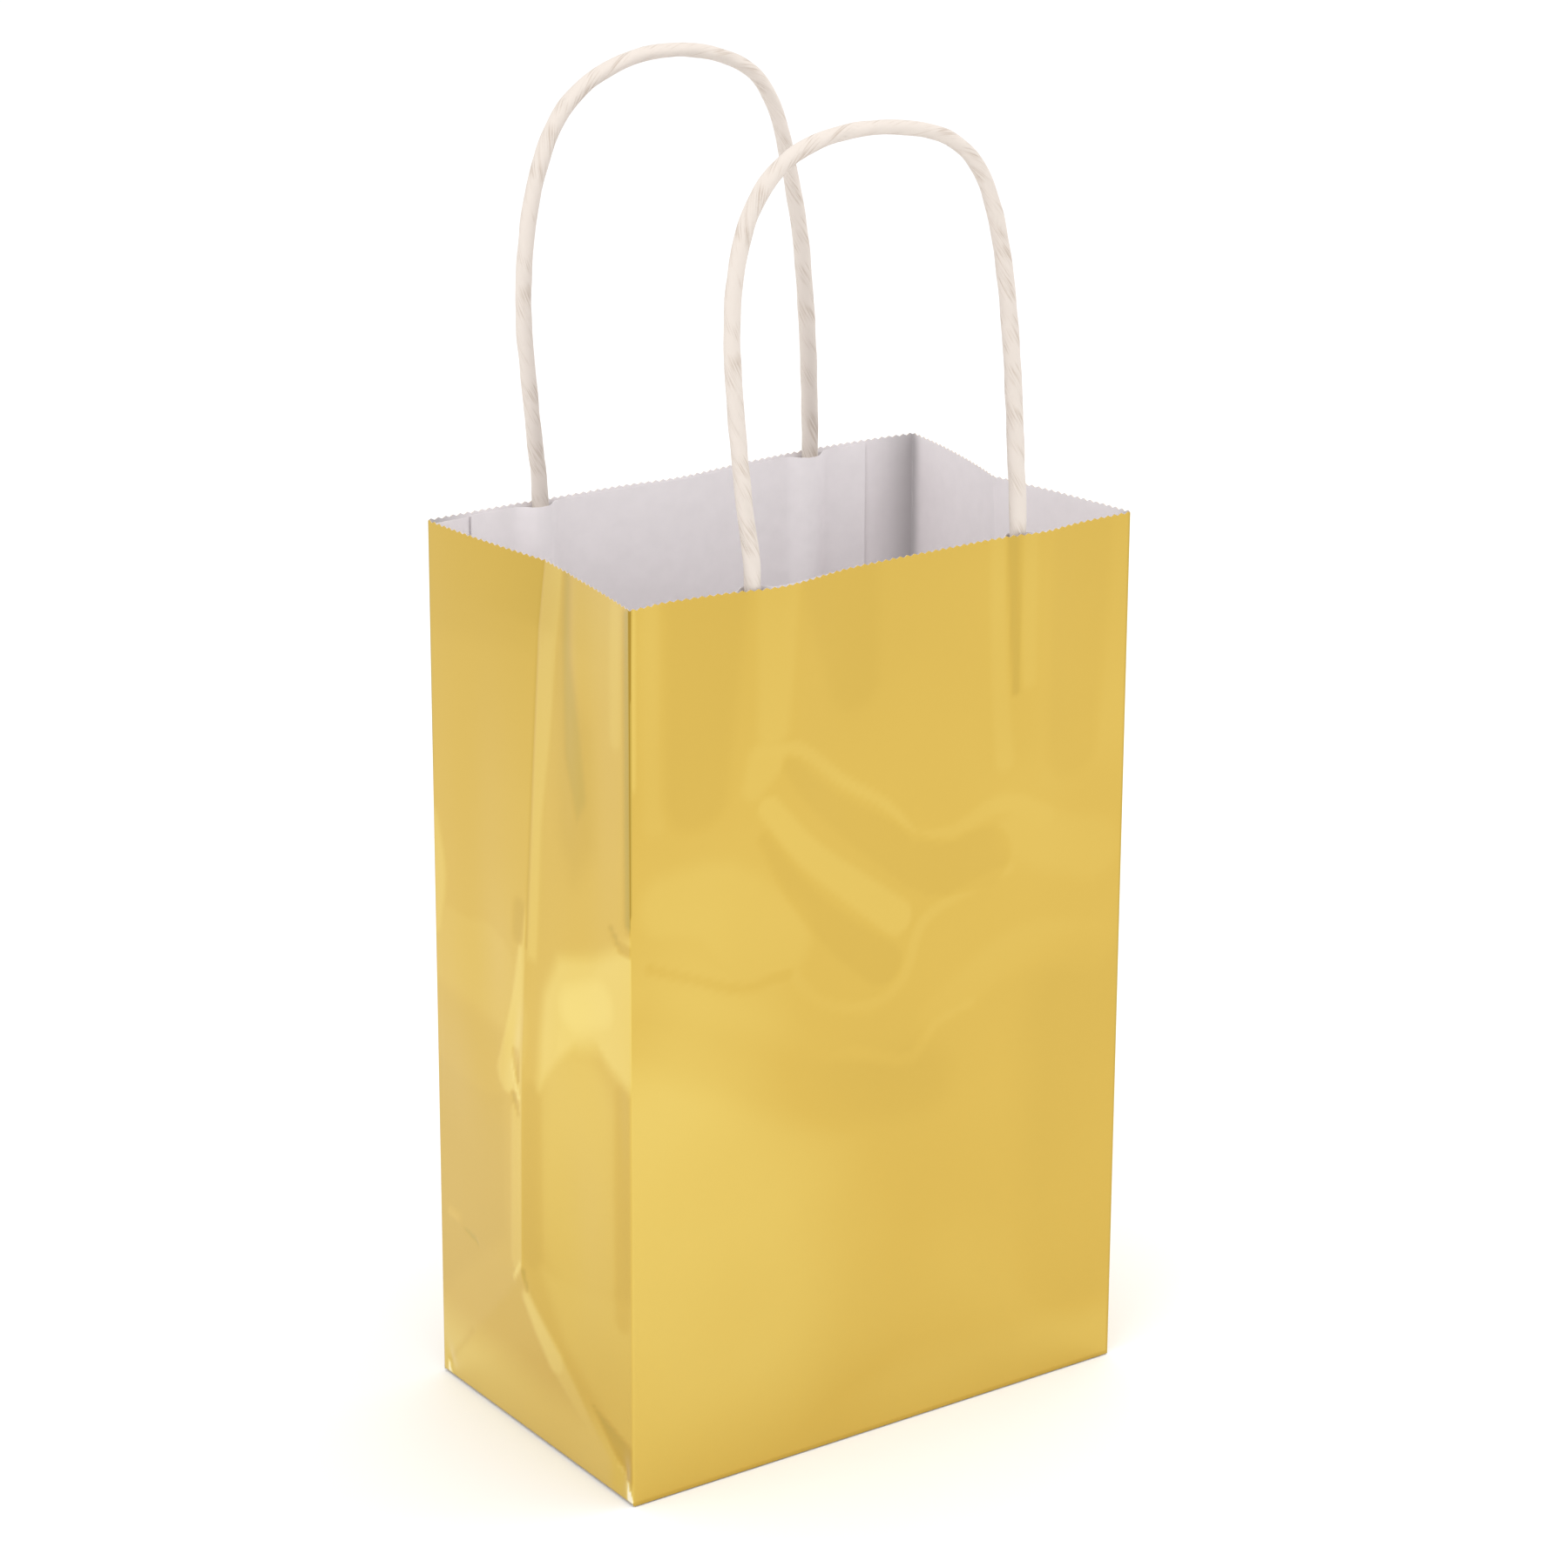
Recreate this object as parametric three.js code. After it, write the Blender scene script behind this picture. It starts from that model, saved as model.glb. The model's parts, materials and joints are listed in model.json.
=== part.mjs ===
// A small paper gift bag: one creased sheet folded into a box with side gussets and an envelope base,
// and two twisted-paper cord handles, each pasted between two paper strips inside the rim.
// Millimetres. +Z is up, +X runs to the right along the front panel, +Y runs to the back,
// and the origin is the middle of the base, on the ground. Every piece is drawn with the bag standing open.

import * as THREE from 'three';

// Driving dimensions of the open bag.
const WIDTH = 133;
const DEPTH = 82;
const HEIGHT = 208;
const PAPER = 0.2;
const GAP = 0.3;

// The rim is cut to a fine zigzag by the bag machine's knife.
const TOOTH_PITCH = 1.9;
const TOOTH_DEPTH = 0.75;

// The base: two mitred flaps pasted over two side tucks, each layer one paper and one gap above the last.
const LAYER = PAPER + GAP;
const FLAP_REACH = 49;
const TUCK_REACH = 46;
const TUCK_TAPER = 24;

// The glued seam that closes the sheet into a tube, on the inside of the back panel's left edge.
const SEAM_START = 1.9;
const SEAM_END = 10.3;

// Each handle's ends lie between two strips below the rim, where the press flattens the cord.
// The back pair is set over to the left, so that its edge meets the seam.
const STRIP_WIDTH = 108.8;
const BACK_STRIP_SHIFT = -1.3;
const STRIP_HEIGHT = 38;
const STRIP_DROP = 1.1;
const END_WIDTH = 4.4;
const END_THICKNESS = 3;
const END_LENGTH = 35;
const RIDGE_RAMP = 1.6;

// The free cord, which hinges just above the rim and bends again part of the way up its legs.
const CORD_DIAMETER = 3.9;
const CORD_SIDES = 12;
const HINGE_Z = 211;
const HINGE_GAP = 2.6;
const BEND_Z = 249;
const BEND_GAP = 1.3;
const LEG_STEPS = 8;
const ARCH_STEPS = 36;

// Centre line of each free loop seen from the front, as [x, z] from the left hinge to the right hinge.
const FRONT_LOOP = [
  [-34.3, 211], [-36, 224], [-37.5, 238], [-38.6, 250], [-39.2, 261], [-38.5, 273], [-35.2, 285.5],
  [-28.8, 294.4], [-19.7, 299.4], [-7, 301.3], [6, 300.1], [16.2, 296.8], [23.6, 290.3], [28.3, 280.3],
  [31.5, 266.6], [33.7, 250], [34.9, 236], [35.7, 223], [36.4, 211],
];
const BACK_LOOP = [
  [-38.8, 211], [-40, 223], [-41.4, 238], [-42.3, 250], [-41.8, 264], [-39.2, 279], [-33.8, 292.4],
  [-25.5, 300.6], [-13.5, 305.2], [-1, 305.8], [10.6, 303.2], [19.4, 298.2], [25.2, 289], [28.6, 276.6],
  [31.7, 261.5], [33.3, 247], [34.2, 235], [34.8, 223], [35.2, 211],
];

const HALF_WIDTH = WIDTH / 2;
const HALF_DEPTH = DEPTH / 2;
const WALL_BOTTOM = 3 * LAYER;
const STRIP_TOP = HEIGHT - STRIP_DROP;
const STRIP_BOTTOM = STRIP_TOP - STRIP_HEIGHT;
const END_TOP = HINGE_Z - HINGE_GAP + GAP;

// Distances from the middle of the bag to each layer of a handle's patch.
const PANEL_INNER_Y = HALF_DEPTH - PAPER;
const BACKING_Y = PANEL_INNER_Y - LAYER;
const HANDLE_Y = BACKING_Y - GAP - END_THICKNESS / 2;
const COVER_Y = BACKING_Y - LAYER;
const RIDGE_HEIGHT = END_THICKNESS;

function material(color, roughness, metalness) {
  return new THREE.MeshStandardMaterial({ color, roughness, metalness });
}

const goldFoil = () => material(0xdfb95c, 0.3, 0.85);
const whitePaper = () => material(0xe9e4e6, 0.85, 0);
const twistedPaper = () => material(0xf1e8de, 0.8, 0);

function piece(name, geometry, surface, x = 0, y = 0, z = 0) {
  const mesh = new THREE.Mesh(geometry, surface);
  mesh.name = name;
  mesh.position.set(x, y, z);
  return mesh;
}

// Extrudes a flat outline straight up by its thickness or length.
function slab(outline, thickness) {
  return new THREE.ExtrudeGeometry(new THREE.Shape(outline), { depth: thickness, bevelEnabled: false });
}

const point = (x, y) => new THREE.Vector2(x, y);

// Zigzag top edge from the right end to the left end of an edge, tips at full height.
function zigzag(width, top) {
  const teeth = Math.round(width / TOOTH_PITCH);
  const points = [];
  for (let i = 0; i <= 2 * teeth; i += 1) {
    const drop = i % 2 === 0 ? TOOTH_DEPTH : 0;
    points.push(point(width / 2 - (i * width) / (2 * teeth), top - drop));
  }
  return points;
}

// An upright sheet of paper in the XZ plane, centred on X = 0, filling Y from 0 to PAPER.
function uprightSheet(width, bottom, topEdge) {
  const outline = [point(-width / 2, bottom), point(width / 2, bottom), ...topEdge];
  const geometry = slab(outline, PAPER);
  geometry.rotateX(Math.PI / 2);
  geometry.translate(0, PAPER, 0);
  return geometry;
}

function cutSheet(width, bottom, top) {
  return uprightSheet(width, bottom, [point(width / 2, top), point(-width / 2, top)]);
}

// Front and back walls run the full width; the gussets stand between them.
function wallPanel(name, y, bottom) {
  return piece(name, uprightSheet(WIDTH, bottom, zigzag(WIDTH, HEIGHT)), goldFoil(), 0, y);
}

// One half of a side gusset: from a corner crease to the middle crease.
function gussetHalf(name, side, end) {
  const reach = PANEL_INNER_Y - GAP;
  const width = reach - GAP / 2;
  const middle = end * (reach + GAP / 2) / 2;
  const x = side * HALF_WIDTH + (side < 0 ? PAPER : 0);
  const sheet = uprightSheet(width, WALL_BOTTOM, zigzag(width, HEIGHT));
  const panel = piece(name, sheet, goldFoil(), x, middle);
  panel.rotation.z = Math.PI / 2;
  return panel;
}

function seamFlap() {
  const inner = HALF_WIDTH - PAPER;
  const width = SEAM_END - SEAM_START;
  const x = -inner + (SEAM_START + SEAM_END) / 2;
  return piece('side_seam_flap', cutSheet(width, WALL_BOTTOM, STRIP_TOP), whitePaper(), x, BACKING_Y);
}

// A base flap folded in from the front or back wall, its ends mitred at 45 degrees.
function baseFlap(name, direction, edge, inset, z) {
  const reach = FLAP_REACH - inset;
  const half = HALF_WIDTH - inset;
  const outline = [
    point(-half, edge),
    point(half, edge),
    point(half - reach, edge + direction * reach),
    point(-half + reach, edge + direction * reach),
  ];
  return piece(name, slab(outline, PAPER), goldFoil(), 0, 0, z);
}

// A tuck folded in from the foot of a gusset, under the ends of both base flaps.
function baseTuck(name, side) {
  const edge = side * (HALF_WIDTH - GAP);
  const half = HALF_DEPTH - LAYER;
  const tip = edge - side * TUCK_REACH;
  const outline = [
    point(edge, -half),
    point(edge, half),
    point(tip, half - TUCK_TAPER),
    point(tip, -half + TUCK_TAPER),
  ];
  return piece(name, slab(outline, PAPER), whitePaper(), 0, 0, 2 * LAYER);
}

// The inner strip of a patch: flat, with a ridge raised over each pasted cord end.
function coverStrip(name, side, shift, legXs) {
  const flat = side * COVER_Y;
  const inward = -side;
  const ridgeHalf = END_WIDTH / 2 + GAP;
  const profile = [[shift - STRIP_WIDTH / 2, 0]];
  for (const x of legXs) {
    profile.push([x - ridgeHalf - RIDGE_RAMP, 0], [x - ridgeHalf, RIDGE_HEIGHT]);
    profile.push([x + ridgeHalf, RIDGE_HEIGHT], [x + ridgeHalf + RIDGE_RAMP, 0]);
  }
  profile.push([shift + STRIP_WIDTH / 2, 0]);
  const outer = profile.map(([x, rise]) => point(x, flat + inward * rise));
  const inner = profile.map(([x, rise]) => point(x, flat + inward * (rise + PAPER)));
  const outline = [...outer, ...inner.reverse()];
  return piece(name, slab(outline, STRIP_HEIGHT), whitePaper(), 0, 0, STRIP_BOTTOM);
}

// A regular many-sided section, stretched to the given width and thickness.
function section(width, thickness) {
  const corners = [];
  for (let i = 0; i < CORD_SIDES; i += 1) {
    const angle = (2 * Math.PI * (i + 0.5)) / CORD_SIDES;
    corners.push(point((width / 2) * Math.cos(angle), (thickness / 2) * Math.sin(angle)));
  }
  return corners;
}

function handleEnd(name, x, y) {
  const length = END_TOP - (STRIP_TOP - END_LENGTH);
  return piece(name, slab(section(END_WIDTH, END_THICKNESS), length), twistedPaper(), x, y, END_TOP - length);
}

// Part of a curve, between two positions measured along its length from 0 to 1.
class Stretch extends THREE.Curve {
  constructor(route, start, end) {
    super();
    this.route = route;
    this.start = start;
    this.end = end;
  }

  getPoint(t, target = new THREE.Vector3()) {
    return this.route.getPointAt(this.start + (this.end - this.start) * t, target);
  }
}

// Position along a loop where one of its legs reaches a height, found by halving the interval.
function positionAt(route, z, leftLeg) {
  let low = leftLeg ? 0 : 1;
  let high = 0.5;
  for (let i = 0; i < 40; i += 1) {
    const middle = (low + high) / 2;
    if (route.getPointAt(middle).z < z) {
      low = middle;
    } else {
      high = middle;
    }
  }
  return low;
}

function cord(name, route, start, end, steps) {
  const round = new THREE.Shape(section(CORD_DIAMETER, CORD_DIAMETER));
  const extrudePath = new Stretch(route, start, end);
  const geometry = new THREE.ExtrudeGeometry(round, { steps, extrudePath, bevelEnabled: false });
  return piece(name, geometry, twistedPaper());
}

// One handle: two pasted ends, two free legs and the arch that joins them.
function handle(prefix, loop, y) {
  const route = new THREE.CatmullRomCurve3(loop.map(([x, z]) => new THREE.Vector3(x, y, z)));
  const footZ = HINGE_Z + GAP;
  const legTop = BEND_Z - BEND_GAP / 2;
  const archFoot = BEND_Z + BEND_GAP / 2;
  const at = (z, leftLeg) => positionAt(route, z, leftLeg);
  const leftX = loop[0][0];
  const rightX = loop[loop.length - 1][0];
  return [
    handleEnd(`${prefix}_handle_end_left`, leftX, y),
    handleEnd(`${prefix}_handle_end_right`, rightX, y),
    cord(`${prefix}_handle_leg_left`, route, at(footZ, true), at(legTop, true), LEG_STEPS),
    cord(`${prefix}_handle_leg_right`, route, at(legTop, false), at(footZ, false), LEG_STEPS),
    cord(`${prefix}_handle_arch`, route, at(archFoot, true), at(archFoot, false), ARCH_STEPS),
  ];
}

// The two strips that hold a handle's ends against a wall; side is -1 at the front, 1 at the back.
function patch(prefix, side, shift, loop) {
  const legXs = [loop[0][0], loop[loop.length - 1][0]];
  const backingY = side * BACKING_Y - (side > 0 ? 0 : PAPER);
  const backing = cutSheet(STRIP_WIDTH, STRIP_BOTTOM, STRIP_TOP);
  return [
    piece(`${prefix}_backing_strip`, backing, whitePaper(), shift, backingY),
    coverStrip(`${prefix}_cover_strip`, side, shift, legXs),
  ];
}

const bag = new THREE.Group();
bag.add(wallPanel('front_panel', -HALF_DEPTH, 0));
bag.add(wallPanel('back_panel', PANEL_INNER_Y, WALL_BOTTOM));
bag.add(gussetHalf('left_gusset_front', -1, -1));
bag.add(gussetHalf('left_gusset_rear', -1, 1));
bag.add(gussetHalf('right_gusset_front', 1, -1));
bag.add(gussetHalf('right_gusset_rear', 1, 1));
bag.add(seamFlap());
bag.add(baseFlap('bottom_flap_back', -1, HALF_DEPTH, 0, 0));
bag.add(baseFlap('bottom_flap_front', 1, -HALF_DEPTH + LAYER, LAYER, LAYER));
bag.add(baseTuck('bottom_tuck_left', -1));
bag.add(baseTuck('bottom_tuck_right', 1));
bag.add(...patch('front', -1, 0, FRONT_LOOP));
bag.add(...patch('back', 1, BACK_STRIP_SHIFT, BACK_LOOP));
bag.add(...handle('front', FRONT_LOOP, -HANDLE_Y));
bag.add(...handle('back', BACK_LOOP, HANDLE_Y));

export default bag;
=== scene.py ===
"""Looks of a small gold foil gift bag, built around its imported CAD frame. Metres, +Z up."""
import json
import math

import bpy
import numpy as np
from mathutils import Matrix, Vector


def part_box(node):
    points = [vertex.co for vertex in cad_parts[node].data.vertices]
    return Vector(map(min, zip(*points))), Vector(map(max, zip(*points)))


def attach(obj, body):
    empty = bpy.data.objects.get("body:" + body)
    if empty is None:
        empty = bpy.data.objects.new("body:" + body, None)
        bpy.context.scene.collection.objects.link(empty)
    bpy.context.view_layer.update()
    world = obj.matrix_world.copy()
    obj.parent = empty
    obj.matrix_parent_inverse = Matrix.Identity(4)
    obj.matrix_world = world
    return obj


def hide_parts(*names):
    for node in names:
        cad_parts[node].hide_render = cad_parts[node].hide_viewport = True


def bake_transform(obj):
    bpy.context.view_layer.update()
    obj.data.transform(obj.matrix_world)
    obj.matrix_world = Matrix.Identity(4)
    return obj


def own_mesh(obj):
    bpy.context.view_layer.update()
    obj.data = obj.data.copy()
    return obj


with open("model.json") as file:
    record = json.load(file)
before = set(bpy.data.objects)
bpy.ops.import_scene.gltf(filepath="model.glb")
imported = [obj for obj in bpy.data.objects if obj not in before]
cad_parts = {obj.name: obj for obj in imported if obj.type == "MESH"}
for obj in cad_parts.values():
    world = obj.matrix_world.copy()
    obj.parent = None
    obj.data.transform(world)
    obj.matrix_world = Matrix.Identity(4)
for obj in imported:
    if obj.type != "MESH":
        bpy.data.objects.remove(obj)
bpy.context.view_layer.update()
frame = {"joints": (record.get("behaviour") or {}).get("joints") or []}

MM = 0.001

# ---------------------------------------------------------------- sizes, from the frame
PANEL_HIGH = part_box("front_panel")[1]
HALF_WIDTH = PANEL_HIGH.x
HALF_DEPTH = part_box("back_panel")[1].y
HEIGHT = PANEL_HIGH.z
BASE_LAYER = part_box("bottom_flap_front")[0].z
HANDLE_END_LOW, HANDLE_END_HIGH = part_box("front_handle_end_left")
HANDLE_Y = -(HANDLE_END_LOW.y + HANDLE_END_HIGH.y) / 2
JOINTS = {joint["name"]: joint for joint in frame["joints"]}
BEND_Z = JOINTS["front_handle_bend"]["pos_m"][2]

# ---------------------------------------------------------------- sizes of the paper and cord
PAPER = 0.15 * MM
STRIP_PAPER = 0.1 * MM
TOOTH_PITCH = 1.9 * MM
TOOTH_DEPTH = 0.48 * MM
ROW_STEP = 1.3 * MM            # between the rows of points up a wall
LAST_ROW_DROP = 1.4 * MM       # from the rim down to the last row below the teeth
CREASE_RADIUS = 0.5 * MM
CREASE_LEAD = 0.12             # keeps a gusset's slope beside its corner creases gentle
FLARE_TOP = 0.05 * MM          # how far the side edges stand out at the rim,
FLARE_BASE = 0.8 * MM          # and at the foot, where the bag spreads
EDGE_MARGIN = 9 * MM           # a wall's bulges fade out over this distance from its edges
FINE_MARGIN = 4 * MM           # and its finer relief over this one
TINY = 1e-9
GUSSET_FOOT = 0.56 * MM        # clears the base's layers, so that a folding gusset slides over them
BASE_STEP = 0.18 * MM          # from one layer of the base to the next
APEX_Z = HALF_DEPTH            # where a gusset's middle crease meets its two diagonal creases

# Centre line of each free loop, as x and z in millimetres, from the left hinge to the right hinge.
FRONT_LOOP = [
    (-34.3, 211), (-36, 224), (-37.5, 238), (-38.6, 250), (-39.2, 261), (-38.5, 273), (-35.2, 285.5),
    (-28.8, 294.4), (-19.7, 299.4), (-7, 301.3), (6, 300.1), (16.2, 296.8), (23.6, 290.3), (28.3, 280.3),
    (31.5, 266.6), (33.7, 250), (34.9, 236), (35.7, 223), (36.4, 211),
]
BACK_LOOP = [
    (-38.8, 211), (-40, 223), (-41.4, 238), (-42.3, 250), (-41.8, 264), (-39.2, 279), (-33.8, 292.4),
    (-25.5, 300.6), (-13.5, 305.2), (-1, 305.8), (10.6, 303.2), (19.4, 298.2), (25.2, 289), (28.6, 276.6),
    (31.7, 261.5), (33.3, 247), (34.2, 235), (34.8, 223), (35.2, 211),
]


# ---------------------------------------------------------------- camera, lights and floor
CAMERA_PLACE = (-0.55058, -0.79173, 0.48365)
CAMERA_ANGLES = (-34.874, 19.361, 0.235)       # azimuth, elevation and roll, in degrees
CAMERA_LENS = 103.7                            # millimetres, on a sensor 36 mm wide
LIGHT_AIM = (0, 0, 0.12)
# Square soft boxes: name, place, side and power in watts.
SOFT_BOXES = [
    ("key", (0.9, -0.3, 1.4), 0.7, 3.5),
    ("fill", (-1.2, -0.5, 1.0), 0.9, 4),
    ("top", (-0.1, -0.1, 1.5), 0.5, 2),
]
FLOOR_REACH = 6
FLOOR_DROP = 0.3 * MM                          # keeps the floor clear of the bag's base


def make_camera():
    """The reference view: from the front left and a little above, with a long lens."""
    azimuth, elevation, roll = (math.radians(angle) for angle in CAMERA_ANGLES)
    back = Vector((math.sin(azimuth) * math.cos(elevation), -math.cos(azimuth) * math.cos(elevation),
                   math.sin(elevation)))
    right = Vector((0, 0, 1)).cross(back).normalized()
    up = back.cross(right)
    rolled_right = right * math.cos(roll) + up * math.sin(roll)
    rolled_up = up * math.cos(roll) - right * math.sin(roll)
    data = bpy.data.cameras.new("camera")
    data.lens = CAMERA_LENS
    data.sensor_width = 36
    data.clip_end = 20
    camera = bpy.data.objects.new("camera", data)
    bpy.context.scene.collection.objects.link(camera)
    turn = Matrix((rolled_right, rolled_up, back)).transposed()
    camera.matrix_world = Matrix.Translation(CAMERA_PLACE) @ turn.to_4x4()
    bpy.context.scene.camera = camera


def soft_box(name, place, side, power):
    data = bpy.data.lights.new(name, "AREA")
    data.shape = "SQUARE"
    data.size = side
    data.energy = power
    light = bpy.data.objects.new(name, data)
    light.location = place
    light.rotation_euler = (Vector(LIGHT_AIM) - Vector(place)).to_track_quat("-Z", "Y").to_euler()
    bpy.context.scene.collection.objects.link(light)


def make_studio():
    """A white room with three soft boxes."""
    scene = bpy.context.scene
    scene.view_settings.view_transform = "Standard"
    world = bpy.data.worlds.new("studio")
    scene.world = world
    world.use_nodes = True
    background = world.node_tree.nodes["Background"]
    background.inputs["Color"].default_value = (1, 1, 1, 1)
    background.inputs["Strength"].default_value = 1.04
    for box in SOFT_BOXES:
        soft_box(*box)


def make_floor():
    mesh = bpy.data.meshes.new("floor")
    corners = [(x * FLOOR_REACH, y * FLOOR_REACH, 0) for x, y in ((-1, -1), (1, -1), (1, 1), (-1, 1))]
    mesh.from_pydata(corners, [], [(0, 1, 2, 3)])
    floor = bpy.data.objects.new("floor", mesh)
    floor.location.z = -FLOOR_DROP
    bpy.context.scene.collection.objects.link(floor)
    material = bpy.data.materials.new("pale_floor")
    material.use_nodes = True
    shader = material.node_tree.nodes["Principled BSDF"]
    shader.inputs["Base Color"].default_value = (0.97, 0.97, 0.97, 1)
    shader.inputs["Roughness"].default_value = 0.8
    shader.inputs["Specular IOR Level"].default_value = 0.2
    mesh.materials.append(material)


# ---------------------------------------------------------------- materials
# The foil's colour at each tone: painted shade for a shaded fold, through the flat sheet at 0, to a painted
# glint.
FOIL_PAINTED_TONES = [
    (-2.0, (0.36, 0.225, 0.03)), (-1.0, (0.492, 0.350, 0.070)), (-0.4, (0.565, 0.380, 0.074)),
    (0.0, (0.610, 0.415, 0.084)), (0.45, (0.675, 0.490, 0.116)), (1.0, (0.755, 0.592, 0.178)),
    (1.6, (0.87, 0.76, 0.39)), (2.5, (1.0, 0.97, 0.85)),
]
TONE_LOW = FOIL_PAINTED_TONES[0][0]
TONE_HIGH = FOIL_PAINTED_TONES[-1][0]


class Nodes:
    """A material's node tree with short calls to add and join nodes."""

    def __init__(self, name):
        self.material = bpy.data.materials.new(name)
        self.material.use_nodes = True
        self.tree = self.material.node_tree
        self.shader = self.tree.nodes["Principled BSDF"]

    def add(self, kind, **settings):
        node = self.tree.nodes.new(kind)
        for key, value in settings.items():
            if key in node.inputs:
                node.inputs[key].default_value = value
            else:
                setattr(node, key, value)
        return node

    def join(self, source, output, target, socket):
        self.tree.links.new(source.outputs[output], target.inputs[socket])

    def combine(self, first, second, operation):
        """Two numbers added or multiplied."""
        node = self.add("ShaderNodeMath", operation=operation)
        self.tree.links.new(first, node.inputs[0])
        self.tree.links.new(second, node.inputs[1])
        return node.outputs["Value"]

    def noise(self, coordinates, scale, detail=3.0, distortion=0.0, stretch=(1, 1, 1)):
        mapping = self.add("ShaderNodeMapping")
        mapping.inputs["Scale"].default_value = stretch
        self.tree.links.new(coordinates, mapping.inputs["Vector"])
        noise = self.add("ShaderNodeTexNoise", Scale=scale, Detail=detail, Distortion=distortion)
        self.join(mapping, "Vector", noise, "Vector")
        return noise.outputs["Fac"]

    def ramp(self, source, stops):
        ramp = self.add("ShaderNodeValToRGB")
        elements = ramp.color_ramp.elements
        while len(elements) < len(stops):
            elements.new(0.5)
        for element, (place, colour) in zip(elements, stops):
            element.position = place
            element.color = (*colour, 1)
        self.tree.links.new(source, ramp.inputs["Fac"])
        return ramp.outputs["Color"]

    def span(self, source, low, high, source_low=0.0, source_high=1.0):
        """Maps source_low..source_high onto low..high."""
        spread = self.add("ShaderNodeMapRange")
        spread.inputs["From Min"].default_value = source_low
        spread.inputs["From Max"].default_value = source_high
        spread.inputs["To Min"].default_value = low
        spread.inputs["To Max"].default_value = high
        self.tree.links.new(source, spread.inputs["Value"])
        return spread.outputs["Result"]

    def bump(self, layers):
        """Stacks (height, distance in metres, strength) bumps under the shader's normal."""
        below = None
        for height, distance, strength in layers:
            node = self.add("ShaderNodeBump", Distance=distance, Strength=strength)
            self.tree.links.new(height, node.inputs["Height"])
            if below is not None:
                self.join(below, "Normal", node, "Normal")
            below = node
        self.join(below, "Normal", self.shader, "Normal")

    def feed(self, source, socket):
        self.tree.links.new(source, self.shader.inputs[socket])


def gold_foil():
    """Metallised film on paper. Its base colour carries painted reflections, painted shade and painted
    glints, from the tone kept in the mesh; the sheet's relief follows the same tone.
    """
    nodes = Nodes("gold_foil")
    place = nodes.add("ShaderNodeTexCoord").outputs["Object"]
    tone = nodes.add("ShaderNodeAttribute", attribute_name="tone").outputs["Fac"]
    drift = nodes.span(nodes.noise(place, 14, detail=2), -0.3, 0.3)
    share = nodes.span(nodes.combine(tone, drift, "ADD"), 0, 1, TONE_LOW, TONE_HIGH)
    stops = [((level - TONE_LOW) / (TONE_HIGH - TONE_LOW), colour) for level, colour in FOIL_PAINTED_TONES]
    # painted light and shade: the tone picks the foil's base colour, from a shaded fold to a white glint
    nodes.feed(nodes.ramp(share, stops), "Base Color")
    nodes.shader.inputs["Metallic"].default_value = 1
    smear = nodes.noise(place, 90, detail=3)
    nodes.feed(nodes.span(smear, 0.17, 0.25), "Roughness")
    nodes.shader.inputs["Coat Weight"].default_value = 0.06
    nodes.shader.inputs["Coat Roughness"].default_value = 0.1
    grain = nodes.noise(place, 900, detail=2)
    ripple = nodes.noise(place, 110, detail=2)
    nodes.bump([(ripple, 0.12 * MM, 0.2), (grain, 0.015 * MM, 0.25)])
    return nodes.material


def white_paper(name, tone):
    """Uncoated paper: matt, faintly fibrous and cloudy, and darkened towards the upright creases by painted
    shade kept in a layer of the mesh.
    """
    nodes = Nodes(name)
    place = nodes.add("ShaderNodeTexCoord").outputs["Object"]
    cloud = nodes.noise(place, 260, detail=5)
    dull = tuple(channel * 0.965 for channel in tone)
    clean = nodes.ramp(cloud, [(0.3, dull), (0.7, tone)])
    corner_shade = nodes.add("ShaderNodeAttribute", attribute_name="corner_shade").outputs["Fac"]
    # painted shade: the lining darkens towards this colour along the upright creases
    mix = nodes.add("ShaderNodeMix", data_type="RGBA")
    mix.inputs["B"].default_value = (*(channel * 0.45 for channel in tone), 1)
    nodes.tree.links.new(corner_shade, mix.inputs["Factor"])
    nodes.tree.links.new(clean, mix.inputs["A"])
    nodes.feed(mix.outputs["Result"], "Base Color")
    nodes.shader.inputs["Roughness"].default_value = 0.78
    nodes.shader.inputs["Specular IOR Level"].default_value = 0.3
    fibre = nodes.noise(place, 1500, detail=4, stretch=(1, 1, 0.35))
    mottle = nodes.noise(place, 300, detail=3)
    nodes.bump([(mottle, 0.06 * MM, 0.3), (fibre, 0.02 * MM, 0.5)])
    return nodes.material


def cut_paper():
    """The bare cut edge of the sheet, tinted by the foil beside it."""
    nodes = Nodes("cut_paper")
    place = nodes.add("ShaderNodeTexCoord").outputs["Object"]
    fibre = nodes.noise(place, 2600, detail=2)
    nodes.feed(nodes.ramp(fibre, [(0.35, (0.58, 0.46, 0.31)), (0.65, (0.70, 0.58, 0.43))]), "Base Color")
    nodes.shader.inputs["Roughness"].default_value = 0.8
    return nodes.material


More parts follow.
